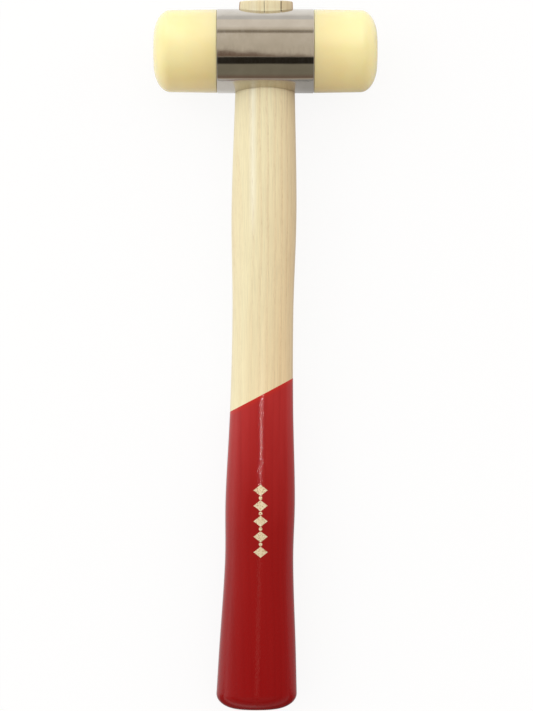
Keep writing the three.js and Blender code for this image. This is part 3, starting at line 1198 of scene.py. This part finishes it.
def beyond(tree, part, width):
    """0 near the middle of a set of bands, 1 beside it."""
    begin, end = width
    return ramp(tree, maths(tree, "ABSOLUTE", part), [(begin, 0), (end, 1)])


def shelf(tree, x, angle):
    """1 on the shelf along the handle, 0 above its slanting edge and below its foot."""
    edge = maths(tree, "MULTIPLY_ADD", x, SHELF_SLANT, SHELF_EDGE)
    under = maths(tree, "DIVIDE", maths(tree, "SUBTRACT", edge, angle), SHELF_BLUR, clamp=True)
    return times(tree, under, maths(tree, "GREATER_THAN", angle, SHELF_FOOT))


def mirrored_room(tree, direction):
    """The colour that polished surfaces mirror from each direction."""
    x, y, z = parts_of(tree, direction)
    angle = degrees_over(tree, y, z)
    along = signed_ramp(tree, angle, BANDS_ALONG, HALF_TURN)
    along = blend_colours(tree, shelf(tree, x, angle), along, BROWN_SHELF)
    across = signed_ramp(tree, degrees_over(tree, x, z), BANDS_ACROSS, HALF_TURN)
    rest = blend_colours(tree, signed_ramp(tree, y, BUTT_SIDE), 0, ramp(tree, z, CORNERS))
    mirrored = blend_colours(tree, beyond(tree, y, ACROSS_WIDTH), across, rest)
    mirrored = blend_colours(tree, beyond(tree, x, ALONG_WIDTH), along, mirrored)
    for brightness, reach_across, reach_along in SKYLIGHTS:
        inside = times(tree, signed_ramp(tree, x, reach_across), signed_ramp(tree, y, reach_along))
        mirrored = blend_colours(tree, inside, mirrored, brightness)
    return mirrored


def room():
    """A white background, soft light, and the room that polished surfaces mirror."""
    world = bpy.data.worlds.new("room")
    world.use_nodes = True
    tree = world.node_tree
    tree.nodes.clear()
    direction = node(tree, "ShaderNodeTexCoord").outputs["Generated"]
    toward = vectors(tree, "DOT_PRODUCT", direction, tuple(BRIGHT_SIDE.normalized()))["Value"]
    soft = glow(tree, "ShaderNodeBackground", signed_ramp(tree, toward, SOFT_LIGHT), SOFT_STRENGTH)
    mirror = glow(tree, "ShaderNodeBackground", mirrored_room(tree, direction))
    white = glow(tree, "ShaderNodeBackground", 1)
    path = node(tree, "ShaderNodeLightPath").outputs
    indirect = mix_shaders(tree, path["Is Glossy Ray"], soft, mirror)
    shown = mix_shaders(tree, seen_straight(tree, path), indirect, white)
    node(tree, "ShaderNodeOutputWorld", {"Surface": shown})
    bpy.context.scene.world = world


def hang(name, light, place, target):
    """Hangs a lamp at a place and points it at a target."""
    made = bpy.data.objects.new(name, light)
    made.location = place
    made.rotation_euler = (Vector(target) - Vector(place)).to_track_quat("-Z", "Y").to_euler()
    bpy.context.scene.collection.objects.link(made)
    return made


def soft_lamp(name, place, target, size, power):
    """A broad lamp that lights the hammer but isn't mirrored in it."""
    light = bpy.data.lights.new(name, "AREA")
    light.shape = "RECTANGLE"
    light.size, light.size_y = size
    light.energy = power
    hang(name, light, place, target).visible_glossy = False


def flash():
    light = bpy.data.lights.new("flash", "SPOT")
    light.energy = FLASH_POWER
    light.shadow_soft_size = FLASH_RADIUS
    light.spot_size = FLASH_CONE
    light.spot_blend = FLASH_BLEND
    hang("flash", light, FLASH_PLACE, FLASH_TARGET)


def camera():
    data = bpy.data.cameras.new("camera")
    data.sensor_width = SENSOR
    data.lens = SENSOR * -CAMERA_PLACE.y / VIEW_HEIGHT
    made = bpy.data.objects.new("camera", data)
    made.matrix_world = laid @ Matrix.Translation(CAMERA_PLACE * MM) @ Matrix.Rotation(QUARTER, 4, "X")
    bpy.context.scene.collection.objects.link(made)
    bpy.context.scene.camera = made


floor()
room()
soft_lamp("window", WINDOW_PLACE, WINDOW_TARGET, WINDOW_SIZE, WINDOW_POWER)
soft_lamp("fill", FILL_PLACE, FILL_TARGET, FILL_SIZE, FILL_POWER)
flash()
camera()
bpy.context.scene.view_settings.view_transform = "Standard"
